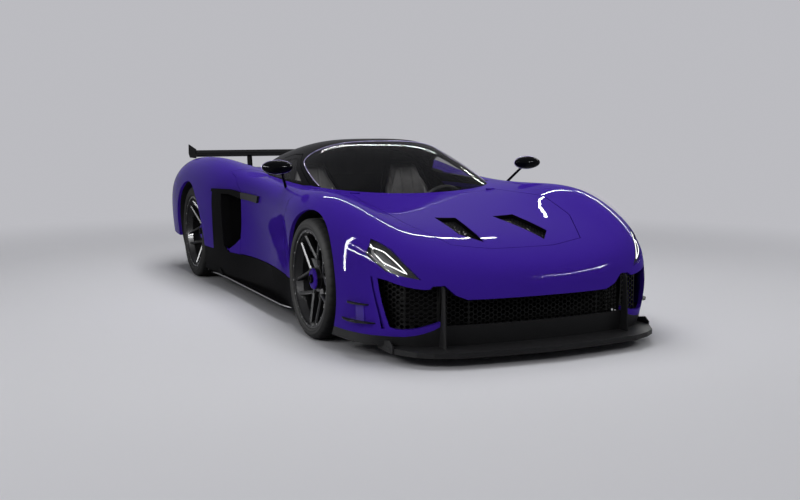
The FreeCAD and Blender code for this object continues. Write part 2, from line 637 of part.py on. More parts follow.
def splitter():
    outline = symmetric([(0, FRONT_TIP)] + xy([(300, -2354), (545, -2322), (660, -2270), (735, -2215), (785, -2130),
                                               (815, -2066), (812, -1898)]))
    board = prism_z(outline, FLOOR_LOW - 24, FLOOR_LOW + 4)
    strut = prism_x([(FRONT_TIP + 160, FLOOR_LOW), (FRONT_TIP + 180, Z(386)), (FRONT_TIP + 196, Z(401)),
                     (FRONT_TIP + 250, Z(401)), (FRONT_TIP + 380, FLOOR_LOW)], X(563), X(563) + 6).cut(AROUND)
    fence = prism_x([(Y(-1900), FLOOR_LOW - 23), (Y(-1900), 92), (Y(-2055), 122), (Y(-2090), 98),
                     (Y(-2088), FLOOR_LOW - 23)], X(812) - 6, X(812))
    bumper = lower_bumper()
    floor = floor_base(SEAT_GAP)
    shape = fuse([board] + both(strut).Solids + both(fence).Solids + both(bumper).Solids)
    return shape.cut(floor)


def canards():
    low = prism_z(xy([(850, -1690), (936, -1690), (954, -1760), (956, -1830), (936, -1895), (890, -1950),
                      (850, -1965)]), Z(196), Z(196) + 7)
    high = prism_z(xy([(850, -1750), (928, -1750), (948, -1810), (934, -1872), (896, -1928), (850, -1940)]),
                   Z(290), Z(290) + 7)
    pad = under(-6).cut(AROUND).common(box(X(800), X(1300), Y(-1905), Y(-1850), Z(196), Z(290) + 7))
    return fuse([low.cut(AROUND), high.cut(AROUND), pad])


def floor_base(clearance=0.0):
    outline = [(X(300), Y(-2140)), (X(560), Y(-2080)), (X(700), Y(-1900)), (FLOOR_HALF, Y(-1640)),
               (FLOOR_HALF, Y(1000)), (X(800), Y(1880))]
    slab = prism_z(grown(symmetric(outline), clearance), FLOOR_LOW - clearance, FLOOR_HIGH + clearance)
    return slab.common(under(PANEL_THICKNESS + SEAT_GAP - clearance))


def floor_tub():
    base = floor_base().cut([front_arches(ARCH_FRONT + 5, X(504)), rear_arches(ARCH_REAR + 5, X(604))])
    liners = [both(arch_liner(FRONT_AXLE, TYRE_RADIUS_FRONT, ARCH_FRONT, X(500))),
              both(arch_liner(REAR_AXLE, TYRE_RADIUS_REAR, ARCH_REAR, X(600)))]
    sill = box(X(660), X(820), Y(DOOR_FRONT - 60), Y(DOOR_REAR + 60), FLOOR_HIGH - 1, SILL_TOP - 8)
    front_wall = box(X(-690), X(690), Y(DOOR_FRONT - 60), Y(DOOR_FRONT - 35), FLOOR_HIGH - 1, Z(690))
    rear_wall = box(X(-700), X(700), Y(DOOR_REAR + 170), Y(DOOR_REAR + 200), FLOOR_HIGH - 1, Z(860))
    rear_wall = rear_wall.common(box(X(-700), X(700), Y(0), Y(1000), 0, CANOPY_BASE + 1).fuse(ROOF_INNER))
    return fuse([base] + both(sill).Solids + [front_wall, rear_wall] + liners[0].Solids + liners[1].Solids)


def arch_liner(axle, wheel_radius, arch, x0):
    """The lining over a wheel, with a window inboard that the suspension passes."""
    ring = rod_x(x0, X(1100), axle, wheel_radius, arch + 10).cut(rod_x(x0 - 1, X(1101), axle, wheel_radius, arch))
    back = rod_x(x0, x0 + 8, axle, wheel_radius, arch + 9).cut(rod_x(x0 - 1, x0 + 9, axle, wheel_radius, 230))
    return fuse([ring, back]).common(UNDER).common(box(0, FAR, -FAR, FAR, FLOOR_LOW + 5, FAR))


def engine():
    return box(X(-290), X(290), Y(LID_FRONT) + 60, REAR_AXLE - 230, FLOOR_HIGH + SEAT_GAP, Z(620))


# Cabin

def seat():
    cushion = prism_x(yz([(-330, 200), (-330, 300), (-290, 330), (60, 270), (120, 250), (120, 160), (-100, 170)]),
                      X(130), X(610))
    back = prism_x(yz([(60, 270), (200, 560), (300, 900), (360, 905), (390, 870), (300, 560), (200, 250), (120, 160)]),
                   X(150), X(590))
    head = prism_x(yz([(270, 800), (318, 948), (338, 960), (374, 962), (398, 935), (375, 820)]), X(245), X(495))
    foot = box(X(200), X(540), Y(-250), Y(100), FLOOR_HIGH + SEAT_GAP, Z(205))
    return fuse([cushion, back, head, foot])


WHEEL_POINT = V(X(360), Y(-330), Z(640))
COLUMN_AXIS = V(0, 0.9207, 0.3903)


def dashboard():
    body = prism_x(yz([(-700, 560), (-700, 730), (-560, 745), (-440, 720), (-420, 640), (-520, 560)]), X(-640), X(640))
    body = body.common(ROOF_INNER.fuse(box(X(-640), X(640), Y(-790), Y(0), 0, CANOPY_BASE + 1)))
    console = prism_x([(Y(-700), FLOOR_HIGH + SEAT_GAP)] + yz([(-700, 561), (-530, 561), (-380, 400), (400, 330)])
                      + [(Y(400), FLOOR_HIGH + SEAT_GAP)], X(-110), X(110))
    bore = Part.makeCylinder(22 + SEAT_GAP, 200, WHEEL_POINT - COLUMN_AXIS * (150 + SEAT_GAP), COLUMN_AXIS)
    return fuse([body, console]).cut(bore)


def steering_wheel():
    rim = Part.makeTorus(165, 14, WHEEL_POINT, COLUMN_AXIS)
    hub = Part.makeCylinder(45, 40, WHEEL_POINT - COLUMN_AXIS * 30, COLUMN_AXIS)
    spokes = box(WHEEL_POINT.x - 160, WHEEL_POINT.x + 160, -9, 9, -14, 14)
    spokes.translate(V(0, WHEEL_POINT.y, WHEEL_POINT.z))
    column = Part.makeCylinder(22, 140, WHEEL_POINT - COLUMN_AXIS * 150, COLUMN_AXIS)
    return fuse([rim, hub, spokes, column])


# Wheels

class Wheel:
    """A wheel's centre and the places along its axle that its pieces share."""

    def __init__(self, axle, radius, width, inset_from_side, recess):
        self.centre = V(HALF_WIDTH - inset_from_side - width / 2, axle, radius)
        self.radius = radius
        self.width = width
        self.face = self.centre.x + width / 2
        self.recess = recess
        self.hub = self.face - recess - 33
        self.disc = self.hub - 55
        self.pin = V(self.disc - 28, axle, radius)


FRONT = Wheel(FRONT_AXLE, TYRE_RADIUS_FRONT, TYRE_WIDTH_FRONT, WHEEL_INSET_FRONT, HUB_RECESS_FRONT)
REAR = Wheel(REAR_AXLE, TYRE_RADIUS_REAR, TYRE_WIDTH_REAR, WHEEL_INSET_REAR, HUB_RECESS_REAR)


def revolved(points, centre):
    """Turns an outline of (x, radius) points about a wheel's axle. x counts outwards from the centre plane."""
    ring = [V(centre.x + x, centre.y, centre.z + r) for x, r in points]
    face = Part.Face(Part.makePolygon(ring + ring[:1]))
    return face.revolve(centre, V(1, 0, 0), 360)


def tyre(wheel):
    half, radius = wheel.width / 2, wheel.radius
    profile = [(half - 14, RIM_RADIUS), (half - 2, RIM_RADIUS + 12), (half, RIM_RADIUS + 30),
               (half - 6, radius - 18), (half - 20, radius - 3), (half - 50, radius), (-half + 50, radius),
               (-half + 20, radius - 3), (-half + 6, radius - 18), (-half, RIM_RADIUS + 30),
               (-half + 2, RIM_RADIUS + 12), (-half + 14, RIM_RADIUS)]
    profile = [(x, r + (SEAT_GAP if r < RIM_RADIUS + 5 else 0)) for x, r in profile]
    return revolved(profile, wheel.centre)


def spoke(wheel, start, end, width, depth, turn):
    """A bar with bevelled front edges between two (depth behind the face, sideways, radius) points."""
    lean = math.atan2(end[1] - start[1], end[2] - start[2])
    across = V(0, math.cos(lean), -math.sin(lean))
    section = [(-depth, -width / 2), (-depth, width / 2), (-width * 0.35, width / 2), (0, width * 0.22),
               (0, -width * 0.22), (-width * 0.35, -width / 2)]
    rings = []
    for back, sideways, radius in (start, end):
        at = V(wheel.face - back, wheel.centre.y + sideways, wheel.centre.z + radius)
        ring = [at + V(dx, 0, 0) + across * dt for dx, dt in section]
        rings.append(Part.makePolygon(ring + ring[:1]))
    arm = Part.makeLoft(rings, True, True)
    arm.rotate(wheel.centre, V(1, 0, 0), turn)
    return arm


def rim(wheel):
    half, recess, r = wheel.width / 2, wheel.recess, RIM_RADIUS
    barrel = [(half - 12, r), (-half + 12, r), (-half + 12, r - 14), (-half + 40, r - 30), (half - 60, r - 34),
              (half - 22, r - 17), (half - 12, r - 14)]
    parts = [revolved(barrel, wheel.centre)]
    parts.append(rod_x(wheel.hub, wheel.face - recess, wheel.centre.y, wheel.centre.z, r * 0.27))
    parts.append(rod_x(wheel.face - recess - 1, wheel.face - recess + 22, wheel.centre.y, wheel.centre.z, r * 0.22))
    fork = r * 0.45
    reach = r - 12
    for k in range(5):
        turn = 72 * k
        parts.append(spoke(wheel, (recess, 0, r * 0.2), (recess - 8, 0, fork), 36, 30, turn))
        for side in (-1, 1):
            tip = (26, side * reach * math.sin(SPOKE_SPREAD), reach * math.cos(SPOKE_SPREAD))
            parts.append(spoke(wheel, (recess - 8, side * 6, fork - 14), tip, 21, 28, turn))
    return fuse(parts)


def brake_disc(wheel):
    ring = rod_x(wheel.disc, wheel.disc + 32, wheel.centre.y, wheel.centre.z, 196)
    return fuse([ring, rod_x(wheel.disc + 31, wheel.hub - SEAT_GAP, wheel.centre.y, wheel.centre.z, 70)])


def knuckle(wheel):
    """The upright that carries a wheel, with its kingpin post and brake caliper."""
    disc, pin, y, z = wheel.disc, wheel.pin, wheel.centre.y, wheel.centre.z
    post = Part.makeCylinder(22, 240, pin - V(0, 0, 115))
    hub = rod_x(pin.x - 30, disc - SEAT_GAP, y, z, 62)
    caliper = rod_x(disc - 30, disc + 50, y, z, 232).cut(rod_x(disc - 31, disc + 51, y, z, 140))
    caliper = caliper.common(box(disc - 40, disc + 80, y + 100, y + 260, z - 90, z + 90))
    caliper = caliper.cut(rod_x(disc - 6, disc + 38, y, z, 202))
    link = box(disc - 30, disc - 20, y, y + 170, z - 35, z + 35)
    return fuse([hub, post, caliper, link])


def subframe(wheel):
    pin, x0, y, z0 = wheel.pin, X(300), wheel.centre.y, wheel.centre.z
    parts = [box(-x0, x0, y - 200, y + 200, FLOOR_HIGH + SEAT_GAP, z0 + 145)]
    for z in (z0 - 115 - SEAT_GAP - 18, z0 + 125 + SEAT_GAP):
        eye = Part.makeCylinder(28, 18, V(pin.x, pin.y, z))
        parts += both(eye).Solids
        for shift in (-170, 170):
            arm = bar(V(x0 - 20, y + shift, z + 9), V(pin.x - 15, y, z + 9), 9)
            parts += both(arm).Solids
    return fuse(parts)


def mirror_pod():
    pod = Part.makeSphere(1, V(0, 0, 0))
    matrix = FreeCAD.Matrix()
    matrix.scale(100, 56, 43)
    pod = pod.transformGeometry(matrix)
    pod.translate(V(X(918), Y(-560), Z(956)))
    stalk = bar(V(X(885), Y(-545), Z(925)), V(X(822), Y(-440), Z(813)), 9)
    return fuse([pod, stalk.cut(AROUND).Solids[0]])


PIECES = {
    "front_clam": front_clam,
    "bonnet_lid": bonnet_lid,
    "bonnet_grille": bonnet_grille,
    "front_grille": front_grille,
    "front_splitter": splitter,
    "canards_left": canards,
    "headlight_lens_left": headlight_lens,
    "headlight_housing_left": headlight_housing,
    "door_left": door,
    "door_flap_left": door_flap,
    "side_window_left": side_window,
    "mirror_left": mirror_pod,
    "roof": roof,
    "windscreen": windscreen,
    "engine_lid": engine_lid,
    "rear_clam": rear_clam,
    "side_intake_left": side_intake,
    "side_skirt_left": side_skirt,
    "rear_panel": rear_panel,
    "tail_light": tail_light,
    "diffuser": diffuser,
    "rear_wing": rear_wing,
    "floor_tub": floor_tub,
    "engine_block": engine,
    "seat_left": seat,
    "dashboard": dashboard,
    "steering_wheel": steering_wheel,
    "front_subframe": lambda: subframe(FRONT),
    "rear_subframe": lambda: subframe(REAR),
    "tyre_front_left": lambda: tyre(FRONT),
    "rim_front_left": lambda: rim(FRONT),
    "brake_disc_front_left": lambda: brake_disc(FRONT),
    "knuckle_front_left": lambda: knuckle(FRONT),
    "tyre_rear_left": lambda: tyre(REAR),
    "rim_rear_left": lambda: rim(REAR),
    "brake_disc_rear_left": lambda: brake_disc(REAR),
    "knuckle_rear_left": lambda: knuckle(REAR),
}


def main():
    os.makedirs("parts", exist_ok=True)
    for name, make in PIECES.items():
        shape = make()
        solids = sorted(shape.Solids, key=lambda s: -s.Volume)
        if len(solids) != 1 or not shape.isValid():
            print(name, "solids", [round(s.Volume / 1e3) for s in solids][:6], "valid", shape.isValid())
        solids[0].exportStep("parts/" + name + ".step")
        if name.endswith("_left"):
            mirrored(solids[0]).exportStep("parts/" + name[:-5] + "_right.step")


if __name__ == "__main__":
    main()
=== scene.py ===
import json
import math

import bpy
import bmesh
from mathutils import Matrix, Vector
from mathutils.bvhtree import BVHTree


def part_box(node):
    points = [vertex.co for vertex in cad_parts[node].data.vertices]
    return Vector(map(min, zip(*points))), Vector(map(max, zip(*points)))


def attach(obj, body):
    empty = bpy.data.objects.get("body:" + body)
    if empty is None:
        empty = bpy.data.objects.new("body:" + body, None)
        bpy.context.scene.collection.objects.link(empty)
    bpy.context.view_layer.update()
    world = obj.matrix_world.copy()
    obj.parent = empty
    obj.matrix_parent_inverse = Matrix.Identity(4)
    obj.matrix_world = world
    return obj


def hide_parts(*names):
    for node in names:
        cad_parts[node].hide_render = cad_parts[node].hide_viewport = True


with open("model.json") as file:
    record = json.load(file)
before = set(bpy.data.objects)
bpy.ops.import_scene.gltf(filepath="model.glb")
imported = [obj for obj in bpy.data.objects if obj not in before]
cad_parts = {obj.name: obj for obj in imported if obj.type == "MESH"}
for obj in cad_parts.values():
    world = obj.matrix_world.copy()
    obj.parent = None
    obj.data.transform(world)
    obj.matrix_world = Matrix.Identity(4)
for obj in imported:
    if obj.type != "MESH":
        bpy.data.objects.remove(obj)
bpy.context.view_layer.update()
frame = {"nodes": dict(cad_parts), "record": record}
nodes = frame["nodes"]
scene = bpy.context.scene
scene.view_settings.view_transform = "Standard"


# Materials

def material(name, color, rough, metallic=0.0, **sockets):
    """A new material with its Principled shader set, and the node tree to add detail to."""
    mat = bpy.data.materials.new(name)
    mat.use_nodes = True
    shader = mat.node_tree.nodes["Principled BSDF"]
    shader.inputs["Base Color"].default_value = (*color, 1)
    shader.inputs["Roughness"].default_value = rough
    shader.inputs["Metallic"].default_value = metallic
    for key, value in sockets.items():
        shader.inputs[key.replace("_", " ")].default_value = value
    return mat, mat.node_tree, shader


def add(tree, kind, **values):
    """A new node with the values of its sockets and settings."""
    node = tree.nodes.new(kind)
    for key, value in values.items():
        if key in node.inputs:
            node.inputs[key].default_value = value
        else:
            setattr(node, key, value)
    return node


def place(tree):
    """Where a point is on the car at rest, in metres."""
    return add(tree, "ShaderNodeTexCoord").outputs["Object"]


def texture(tree, kind, output, **values):
    """The output of a texture node laid over the car in metres."""
    node = add(tree, kind, **values)
    tree.links.new(place(tree), node.inputs["Vector"])
    return node.outputs[output]


def noise(tree, scale, detail=3.0, rough=0.5):
    return texture(tree, "ShaderNodeTexNoise", "Fac", Scale=scale, Detail=detail, Roughness=rough)


def ramp(tree, source, stops):
    """The source turned into a colour by stops of (position, colour)."""
    node = add(tree, "ShaderNodeValToRGB")
    tree.links.new(source, node.inputs["Fac"])
    while len(node.color_ramp.elements) < len(stops):
        node.color_ramp.elements.new(0.5)
    for element, (position, color) in zip(node.color_ramp.elements, stops):
        element.position = position
        element.color = (*color, 1)
    return node.outputs["Color"]


def spread(tree, source, low, high):
    """The source, from 0 to 1, spread from low to high."""
    node = add(tree, "ShaderNodeMapRange")
    node.inputs["To Min"].default_value = low
    node.inputs["To Max"].default_value = high
    tree.links.new(source, node.inputs["Value"])
    return node.outputs["Result"]


def bump(tree, shader, source, strength, distance):
    node = add(tree, "ShaderNodeBump", Strength=strength, Distance=distance)
    tree.links.new(source, node.inputs["Height"])
    tree.links.new(node.outputs["Normal"], shader.inputs["Normal"])


def tones(color, spread_of=0.18):
    """Two stops of a ramp, a little darker and a little lighter than a colour."""
    darker = tuple(c * (1 - spread_of) for c in color)
    lighter = tuple(c * (1 + spread_of) for c in color)
    return [(0.3, darker), (0.7, lighter)]


def within(tree, limits):
    """1 where the car's point is inside limits of (axis, low, high, whether the sign is dropped)."""
    axes = add(tree, "ShaderNodeSeparateXYZ")
    tree.links.new(place(tree), axes.inputs[0])
    result = None
    for axis, low, high, both_sides in limits:
        value = axes.outputs[axis]
        if both_sides:
            size = add(tree, "ShaderNodeMath", operation="ABSOLUTE")
            tree.links.new(value, size.inputs[0])
            value = size.outputs[0]
        inside = add(tree, "ShaderNodeMath", operation="COMPARE")
        inside.inputs[1].default_value = (low + high) / 2
        inside.inputs[2].default_value = (high - low) / 2
        tree.links.new(value, inside.inputs[0])
        if result is None:
            result = inside.outputs[0]
            continue
        product = add(tree, "ShaderNodeMath", operation="MULTIPLY")
        tree.links.new(result, product.inputs[0])
        tree.links.new(inside.outputs[0], product.inputs[1])
        result = product.outputs[0]
    return result


def two_tone(tree, shader, mask, source, other):
    """The source colour, and the other colour where the mask is 1."""
    share, first, second, mixed = 0, 6, 7, 2  # the sockets of the node's colour mode
    mix = add(tree, "ShaderNodeMix", data_type="RGBA")
    mix.inputs[second].default_value = (*other, 1)
    tree.links.new(mask, mix.inputs[share])
    tree.links.new(source, mix.inputs[first])
    tree.links.new(mix.outputs[mixed], shader.inputs["Base Color"])


VIOLET = (0.050, 0.0170, 0.335)


def paint(name="violet_paint", black=None):
    """Deep violet paint with a fine flake under clear lacquer, and gloss black inside the limits."""
    mat, tree, shader = material(name, VIOLET, 0.36, 0.0, Specular_IOR_Level=0.0,
                                 Coat_Weight=0.36, Coat_Roughness=0.012, Coat_IOR=1.15)
    flake = ramp(tree, noise(tree, 2400, 2), tones(VIOLET, 0.1))
    tree.links.new(spread(tree, noise(tree, 4, 2), 0.33, 0.40), shader.inputs["Roughness"])
    if black:
        two_tone(tree, shader, within(tree, black), flake, (0.006, 0.006, 0.007))
    else:
        tree.links.new(flake, shader.inputs["Base Color"])
    return mat


def carbon(name, color, rough, scale, violet=None, **sockets):
    """Black composite with a fine weave, and violet inside the limits."""
    mat, tree, shader = material(name, color, rough, **sockets)
    weave = texture(tree, "ShaderNodeTexChecker", "Fac", Scale=scale)
    low, high = tones(color, 0.3)
    woven = ramp(tree, weave, [(0.0, low[1]), (1.0, high[1])])
    if violet:
        two_tone(tree, shader, within(tree, violet), woven, VIOLET)
    else:
        tree.links.new(woven, shader.inputs["Base Color"])
    blotch = spread(tree, noise(tree, 14, 4), rough - 0.06, rough + 0.1)
    tree.links.new(blotch, shader.inputs["Roughness"])
    return mat


def plain(name, color, rough, metallic=0.0, grain=180.0, depth=0.0002, **sockets):
    """A moulded, cast or painted surface with slight mottling and a fine grain."""
    mat, tree, shader = material(name, color, rough, metallic, **sockets)
    fleck = noise(tree, grain, 3)
    tree.links.new(ramp(tree, fleck, tones(color)), shader.inputs["Base Color"])
    blotch = spread(tree, noise(tree, 20, 3), max(0.02, rough - 0.05), rough + 0.08)
    tree.links.new(blotch, shader.inputs["Roughness"])
    if depth:
        bump(tree, shader, fleck, 0.3, depth)
    return mat


def leather(name, color):
    """Leather with fine pores and soft changes of tone."""
    mat, tree, shader = material(name, color, 0.5, Specular_IOR_Level=0.4)
    cells = texture(tree, "ShaderNodeTexVoronoi", "Distance", Scale=420)
    tree.links.new(ramp(tree, noise(tree, 9, 4), tones(color, 0.22)), shader.inputs["Base Color"])
    tree.links.new(spread(tree, noise(tree, 60, 3), 0.44, 0.6), shader.inputs["Roughness"])
    bump(tree, shader, cells, 0.12, 0.0002)
    return mat


def glass(name, color, clear, **sockets):
    """Tinted glass. clear is the share of light that passes."""
    mat, tree, shader = material(name, color, 0.02, Specular_IOR_Level=0.12, **sockets)
    shader.inputs["Alpha"].default_value = 1 - clear
    tree.links.new(spread(tree, noise(tree, 1.5, 1), 0.015, 0.03), shader.inputs["Roughness"])
    return mat


def glowing(name, color, strength):
    """A surface that gives off light."""
    mat, tree, shader = material(name, color, 0.3)
    shader.inputs["Emission Color"].default_value = (*color, 1)
    shader.inputs["Emission Strength"].default_value = strength
    tree.links.new(spread(tree, noise(tree, 90, 2), 0.25, 0.35), shader.inputs["Roughness"])
    return mat


PAINT = paint()
DOOR_PAINT = paint("door_paint", [("X", -0.5, 0.70, True), ("Z", 0.79, 1.2, False)])
GLOSS = plain("gloss_black", (0.004, 0.004, 0.005), 0.12, grain=8, depth=0, Specular_IOR_Level=0.0,
              Coat_Weight=0.25, Coat_Roughness=0.02, Coat_IOR=1.25)
WING = plain("wing_black", (0.004, 0.004, 0.0045), 0.3, grain=40, depth=0, Specular_IOR_Level=0.0,
             Coat_Weight=0.1, Coat_Roughness=0.04, Coat_IOR=1.25)
SKIRT = carbon("skirt_carbon", (0.0075, 0.0075, 0.008), 0.5, 260, Specular_IOR_Level=0.0,
               Coat_Weight=0.06, Coat_Roughness=0.2)
CARBON = carbon("satin_carbon", (0.016, 0.016, 0.017), 0.42, 260, Specular_IOR_Level=0.06)
CANARD = carbon("canard_carbon", (0.0055, 0.0055, 0.006), 0.45, 260, Specular_IOR_Level=0.05,
                violet=[("Z", 0.2045, 0.2895, False)])
MESH = plain("black_mesh", (0.004, 0.004, 0.004), 0.4, grain=500, Specular_IOR_Level=0.08)
GLASS = glass("tinted_glass", (0.010, 0.0105, 0.012), 0.78, Coat_Weight=0.12, Coat_Roughness=0.01)
LENS = glass("lamp_glass", (0.05, 0.05, 0.055), 0.93)
HOUSING = plain("lamp_housing", (0.045, 0.045, 0.050), 0.4, grain=70, Specular_IOR_Level=0.1)
LIGHT = glowing("white_light", (1.0, 1.0, 1.0), 1.6)
RED = plain("tail_lens", (0.42, 0.006, 0.008), 0.15, Coat_Weight=0.8)
TYRE = plain("tyre_rubber", (0.0065, 0.0065, 0.007), 0.7, grain=300, depth=0.0003,
             Specular_IOR_Level=0.06)
RIM = plain("rim_black", (0.007, 0.007, 0.008), 0.28, 0.3, grain=500, depth=0, Specular_IOR_Level=0.2,
            Coat_Weight=0.08)
DISC = plain("disc_iron", (0.022, 0.022, 0.023), 0.45, 0.5, Specular_IOR_Level=0.2)
ALLOY = plain("knuckle_alloy", (0.045, 0.045, 0.048), 0.5, 0.5, Specular_IOR_Level=0.2)
STEEL = plain("subframe_steel", (0.02, 0.02, 0.022), 0.5, 0.3, Specular_IOR_Level=0.2)
FLOOR_BLACK = carbon("floor_carbon", (0.007, 0.007, 0.007), 0.55, 160, Specular_IOR_Level=0.08)
ENGINE = plain("engine_metal", (0.13, 0.13, 0.14), 0.5, 0.3, Specular_IOR_Level=0.2)
LEATHER = leather("seat_leather", (0.26, 0.25, 0.245))
TRIM = plain("trim_plastic", (0.010, 0.010, 0.011), 0.6, grain=500, depth=0.0003, Specular_IOR_Level=0.3)
MIRROR = plain("mirror_glass", (0.6, 0.62, 0.65), 0.03, 1.0, grain=20, depth=0)
# The pale lilac of the windscreen bead and the mirror rings is a painted highlight.
HIGHLIGHT_BEAD = plain("glass_seal", (0.34, 0.30, 0.52), 0.3, 0.2, grain=40, depth=0, Specular_IOR_Level=0.2)
# Bright steel: the real finish of the bolts and exhaust pipes, and a painted highlight on the sill lip.
BRIGHT_STEEL_AND_HIGHLIGHT = plain("bright_steel", (0.16, 0.16, 0.165), 0.38, 0.4, Specular_IOR_Level=0.2)
SLOTS = {
    "body_paint": PAINT, "gloss_black": GLOSS, "satin_carbon": CARBON, "black_mesh": MESH,
    "tinted_glass": GLASS, "lamp_glass": LENS, "lamp_housing": HOUSING, "tail_lens": RED,
    "tyre": TYRE, "rim_black": RIM, "disc_iron": DISC, "knuckle_alloy": ALLOY,
    "subframe_steel": STEEL, "floor_carbon": FLOOR_BLACK, "engine_metal": ENGINE,
    "seat_leather": LEATHER, "trim_plastic": TRIM,
}
for part in frame["record"]["subparts"]:
    node = nodes[part["node"]]
    node.data.materials.clear()
    node.data.materials.append(SLOTS[part["material_slot"]])
for side in ("left", "right"):
    nodes["door_" + side].data.materials[0] = DOOR_PAINT
    nodes["canards_" + side].data.materials[0] = CANARD
    nodes["side_skirt_" + side].data.materials[0] = SKIRT
    nodes["side_intake_" + side].data.materials[0] = SKIRT
nodes["rear_wing"].data.materials[0] = WING


# Mesh helpers

DOWN, UP = (0, 0, -1), (0, 0, 1)
FORWARD, BACKWARD = (0, -1, 0), (0, 1, 0)
INWARD = (-1, 0, 0)  # from the left side


def piece(name, points, faces, mat, body, smooth=True):
    """A mesh piece that rides on a body."""
    mesh = bpy.data.meshes.new(name)
    mesh.from_pydata([tuple(p) for p in points], [], faces)
    mesh.materials.append(mat)
    obj = bpy.data.objects.new(name, mesh)
    scene.collection.objects.link(obj)
    maker = bmesh.new()
    maker.from_mesh(mesh)
    bmesh.ops.recalc_face_normals(maker, faces=maker.faces)
    maker.to_mesh(mesh)
    maker.free()
    for polygon in mesh.polygons:
        polygon.use_smooth = smooth
    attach(obj, body)
    return obj


def grid_faces(rows, columns, closed=False):
    """Quads between rows of points. closed joins the last column to the first."""
    faces = []
    for i in range(rows - 1):
        here, after = i * columns, (i + 1) * columns
        for j in range(columns if closed else columns - 1):
            k = (j + 1) % columns
            faces.append((here + j, here + k, after + k, after + j))
    return faces


def capped(rows, columns):
    """The faces of a closed tube of rings, with its two ends filled."""
    last = (rows - 1) * columns
    ends = [tuple(range(columns)), tuple(last + j for j in range(columns))]
    return grid_faces(rows, columns, True) + ends


def looped(rows, columns):
    """The faces of a tube of rings whose last ring joins its first."""
    faces = []
    for i in range(rows):
        here, after = i * columns, (i + 1) % rows * columns
        for j in range(columns):
            k = (j + 1) % columns
            faces.append((here + j, here + k, after + k, after + j))
    return faces


def chained(shapes):
    """The points and faces of several shapes as one."""
    points, faces = [], []
    for more, around in shapes:
        start = len(points)
        points += more
        faces += [tuple(start + i for i in face) for face in around]
    return points, faces


def mirrored_points(points):
    """The points on the other side of the car, in the order given."""
    return [Vector((-p[0], p[1], p[2])) for p in points]


def pair(name, points, faces, mat, body, smooth=True, finish=None):
    """The same piece on the left and, mirrored, on the right. * in the body's name is the side."""
    for side, shape in (("left", points), ("right", mirrored_points(points))):
        obj = piece(name + "_" + side, shape, faces, mat, body.replace("*", side), smooth)
        if finish:
            finish(obj)


def tree_of(*names):
    """A search tree over the surfaces of some CAD nodes."""
    points, faces = [], []
    for name in names:
        start = len(points)
        mesh = nodes[name].data
        points += [v.co.copy() for v in mesh.vertices]
        faces += [tuple(start + i for i in polygon.vertices) for polygon in mesh.polygons]
    return BVHTree.FromPolygons(points, faces)


def cast(tree, start, direction):
    """Where a ray first meets a surface, or None."""
    return tree.ray_cast(Vector(start), Vector(direction))[0]


def bevelled(obj, width):
    """Rounds the sharp edges of a piece."""
    mod = obj.modifiers.new("edges", "BEVEL")
    mod.width = width
    mod.segments = 2
    mod.limit_method = "ANGLE"
    mod.angle_limit = math.radians(35)


def tube(points, radius, sides=10):
    """Points and faces of a round bead along a path, thinner at its two ends."""
    rings, count = [], len(points)
    for i, at in enumerate(points):
        run = (points[min(i + 1, count - 1)] - points[max(i - 1, 0)]).normalized()
        aside = run.cross(Vector((0, 0, 1)))
        if aside.length < 0.1:
            aside = run.cross(Vector((0, 1, 0)))
        aside.normalize()
        over = aside.cross(run)
        ends = 0.35 if i in (0, count - 1) else 1.0
        for k in range(sides):
            turn = 2 * math.pi * k / sides
            rings.append(at + (aside * math.cos(turn) + over * math.sin(turn)) * radius * ends)
    return rings, capped(count, sides)


def along_path(points, step):
    """Points a step apart along straight runs."""
    out = [points[0]]
    for start, end in zip(points, points[1:]):
        count = max(1, round((end - start).length / step))
        out += [start.lerp(end, (i + 1) / count) for i in range(count)]
    return out


def smoothed(path, reach):
    """A path whose points are each the mean of the points within reach."""
    out = []
    for i in range(len(path)):
        near = path[max(0, i - reach):i + reach + 1]
        out.append(sum(near, Vector()) / len(near))
    return out


def on_axle(x, centre, radius, turn):
    """A point at a radius and turn round the axle through a wheel's centre."""
    return Vector((x, centre.y + radius * math.sin(turn), centre.z + radius * math.cos(turn)))


def lathe(profile, centre, segments, shift):
    """A closed outline of (x, radius) points turned about an axle. shift changes a point's radius."""
    points = []
    for s in range(segments):
        turn = 2 * math.pi * s / segments
        points += [on_axle(centre.x + x, centre, radius + shift(s, x), turn) for x, radius in profile]
    return points, looped(segments, len(profile))


def extent(name):
    """The low and high corners of a CAD node."""
    low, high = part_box(name)
    return Vector(low), Vector(high)


# Wheels

def wheel_centre(end):
    """The centre of a left wheel, half its width and its radius."""
    low, high = extent("tyre_" + end + "_left")
    return (low + high) / 2, (high.x - low.x) / 2, (high.z - low.z) / 2


def tyres(end):
    """Tyres with grooves round the tread, cut shoulders and raised rings on the side walls."""
    centre, half, radius = wheel_centre(end)
    rim, groove, cut_depth = 0.2834, 0.006, 0.0035
    side = [(half - 0.014, rim), (half - 0.004, rim + 0.008), (half - 0.001, rim + 0.016),
            (half - 0.003, rim + 0.019), (half - 0.001, rim + 0.027), (half - 0.0005, rim + 0.036),
            (half - 0.0025, rim + 0.038), (half - 0.005, radius - 0.022), (half - 0.011, radius - 0.011),
            (half - 0.022, radius - 0.0035), (half - 0.034, radius - 0.0015),
            (half - 0.048, radius - 0.0004)]
    tread = []
    for x in (0.34 * half, 0.0, -0.34 * half):
        tread += [(x + 0.0055, radius), (x + 0.0045, radius - groove)]
        tread += [(x - 0.0045, radius - groove), (x - 0.0055, radius)]
    profile = side + tread + [(-x, r) for x, r in reversed(side)]

    def shoulder(segment, x):
        cut = segment % 6 == 0 and half - 0.05 < abs(x) < half - 0.009
        return -cut_depth if cut else 0

    segments = 240
    points, faces = lathe(profile, centre, segments, shoulder)

    def finish(obj):
        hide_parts("tyre_" + end + "_" + obj.name.split("_")[-1])

    pair("treaded_tyre_" + end, points, faces, TYRE, "wheel_" + end + "_*", finish=finish)


